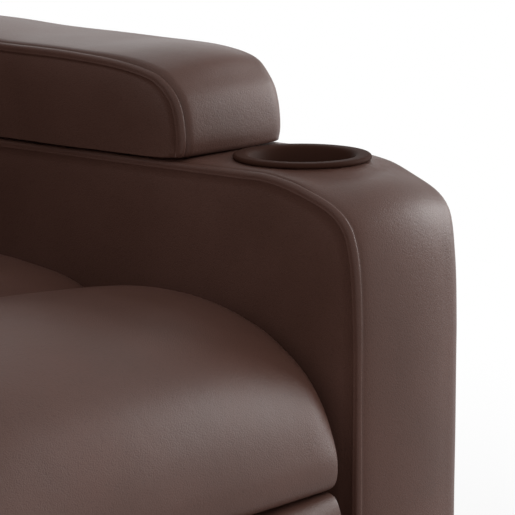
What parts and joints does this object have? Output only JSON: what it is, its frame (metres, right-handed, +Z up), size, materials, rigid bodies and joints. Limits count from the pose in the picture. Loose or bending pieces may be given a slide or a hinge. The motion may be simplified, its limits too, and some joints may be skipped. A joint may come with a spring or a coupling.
{
  "type": "lift recliner chair",
  "caption": "Powered lift recliner with padded arms, cup holders, side pockets, hinged back, folding leg rest and a base that lifts and tilts the seat.",
  "frame": {"origin": "middle of the chair's outline on the floor, under the feet", "axes": "+X to the sitter's left, -Y to the front where the legs go, +Z up"},
  "size_m": [0.868, 0.9262, 1.0283],
  "materials": {
    "leather": "satin faux leather, fine grain",
    "frame_steel": "black powder coat",
    "bright_steel": "zinc plated",
    "board": "raw plywood",
    "cup_plastic": "glossy dark brown moulded plastic",
    "motor_plastic": "matte black moulded plastic",
    "foot_rubber": "matte black"
  },
  "bodies": {
    "base": {"base_rail_left": "frame_steel", "base_rail_right": "frame_steel", "base_cross_tubes": "frame_steel", "base_feet": "foot_rubber", "base_bracket_left": "frame_steel", "base_bracket_right": "frame_steel", "lift_motor_stand": "frame_steel", "lift_motor": "motor_plastic", "power_supply": "motor_plastic"},
    "lift_arms": {"lift_arm_left": "frame_steel", "lift_arm_right": "frame_steel", "lift_torque_tube": "frame_steel"},
    "lift_links": {"lift_link_left": "bright_steel", "lift_link_right": "bright_steel"},
    "lift_rod": {"lift_rod": "bright_steel"},
    "chassis": {"chassis_plate_left": "frame_steel", "chassis_plate_right": "frame_steel", "chassis_cross_tubes": "frame_steel", "leg_plates": "frame_steel", "seat_rail_left": "board", "seat_rail_right": "board", "rear_rail": "board", "seat_deck": "board", "seat_cushion": "leather", "arm_frame_left": "board", "arm_frame_right": "board", "arm_cover_left": "leather", "arm_cover_right": "leather", "arm_pad_left": "leather", "arm_pad_right": "leather", "cup_holder_left": "cup_plastic", "cup_holder_right": "cup_plastic", "side_pocket_left": "leather", "side_pocket_right": "leather", "rear_panel": "leather", "recline_motor": "motor_plastic", "legrest_motor": "motor_plastic"},
    "backrest": {"back_hinge_bar": "frame_steel", "back_posts": "board", "back_rails": "board", "back_shell": "leather", "pillow_lower": "leather", "pillow_middle": "leather", "pillow_head": "leather", "wing_left": "leather", "wing_right": "leather"},
    "recline_rod": {"recline_rod": "bright_steel"},
    "leg_drive": {"leg_shaft": "frame_steel", "leg_drive_left": "bright_steel", "leg_drive_right": "bright_steel"},
    "leg_guide": {"leg_guide_bars": "bright_steel"},
    "leg_carrier": {"leg_carrier_bars": "bright_steel"},
    "leg_tilt": {"leg_tilt_bars": "bright_steel"},
    "legrest": {"legrest_board": "board", "legrest_cushion": "leather"},
    "legrest_rod": {"legrest_rod": "bright_steel"},
    "handset": {"handset": "motor_plastic"},
    "button_up": {"button_up": "bright_steel"},
    "button_down": {"button_down": "bright_steel"}
  },
  "joints": [
    {"name": "lift", "type": "hinge", "parent": "base", "child": "lift_arms", "pos_m": [0, -0.20015, 0.175], "axis": [1, 0, 0], "range_deg": [0, 50]},
    {"name": "lift_link", "type": "hinge", "parent": "base", "child": "lift_links", "pos_m": [0, -0.36295, 0.1038], "axis": [1, 0, 0], "range_deg": [0, 83]},
    {"name": "lift_rod", "type": "slide", "parent": "base", "child": "lift_rod", "axis": [0, -0.9336, 0.3584], "range_m": [0, 0.0593]},
    {"name": "chassis_tilt", "type": "hinge", "parent": "lift_arms", "child": "chassis", "pos_m": [0, 0.19985, 0.175], "axis": [-1, 0, 0], "range_deg": [0, 26.1]},
    {"name": "recline", "type": "hinge", "parent": "chassis", "child": "backrest", "pos_m": [0, 0.15185, 0.33], "axis": [-1, 0, 0], "range_deg": [0, 42]},
    {"name": "recline_rod", "type": "slide", "parent": "chassis", "child": "recline_rod", "axis": [0, -1, 0], "range_m": [0, 0.0431]},
    {"name": "legrest", "type": "hinge", "parent": "chassis", "child": "leg_drive", "pos_m": [0, -0.25115, 0.27], "axis": [-1, 0, 0], "range_deg": [0, 81]},
    {"name": "leg_guide", "type": "hinge", "parent": "chassis", "child": "leg_guide", "pos_m": [0, -0.28585, 0.2346], "axis": [-1, 0, 0], "range_deg": [0, 88.9]},
    {"name": "leg_carrier", "type": "hinge", "parent": "leg_drive", "child": "leg_carrier", "pos_m": [0, -0.26161, 0.12036], "axis": [1, 0, 0], "range_deg": [0, 111.1]},
    {"name": "leg_tilt", "type": "hinge", "parent": "leg_drive", "child": "leg_tilt", "pos_m": [0, -0.22689, 0.10801], "axis": [1, 0, 0], "range_deg": [0, 110.6]},
    {"name": "legrest_board", "type": "hinge", "parent": "leg_carrier", "child": "legrest", "pos_m": [0, -0.37345, 0.28617], "axis": [-1, 0, 0], "range_deg": [0, 114.1]},
    {"name": "legrest_rod", "type": "slide", "parent": "chassis", "child": "legrest_rod", "axis": [0, -1, 0], "range_m": [0, 0.0625]},
    {"name": "handset_slide", "type": "slide", "parent": "chassis", "child": "handset", "axis": [0, 0, 1], "range_m": [0, 0.15]},
    {"name": "button_up", "type": "slide", "parent": "handset", "child": "button_up", "axis": [1, 0, 0], "range_m": [0, 0.0015], "stiffness_N_per_m": 900, "springref_m": -0.0004},
    {"name": "button_down", "type": "slide", "parent": "handset", "child": "button_down", "axis": [1, 0, 0], "range_m": [0, 0.0015], "stiffness_N_per_m": 900, "springref_m": -0.0004}
  ],
  "couplings": [
    {"joint": "lift_link", "follows": "lift", "ratio": 1.6596},
    {"joint": "lift_rod", "follows": "lift", "m_per_rad": 0.0678},
    {"joint": "chassis_tilt", "follows": "lift", "ratio": 0.52},
    {"joint": "recline_rod", "follows": "recline", "m_per_rad": 0.05867},
    {"joint": "leg_guide", "follows": "legrest", "ratio": 1.0966},
    {"joint": "leg_carrier", "follows": "legrest", "ratio": 1.3704},
    {"joint": "leg_tilt", "follows": "legrest", "ratio": 1.3643},
    {"joint": "legrest_board", "follows": "legrest", "ratio": 1.4074},
    {"joint": "legrest_rod", "follows": "legrest", "m_per_rad": 0.0441}
  ]
}
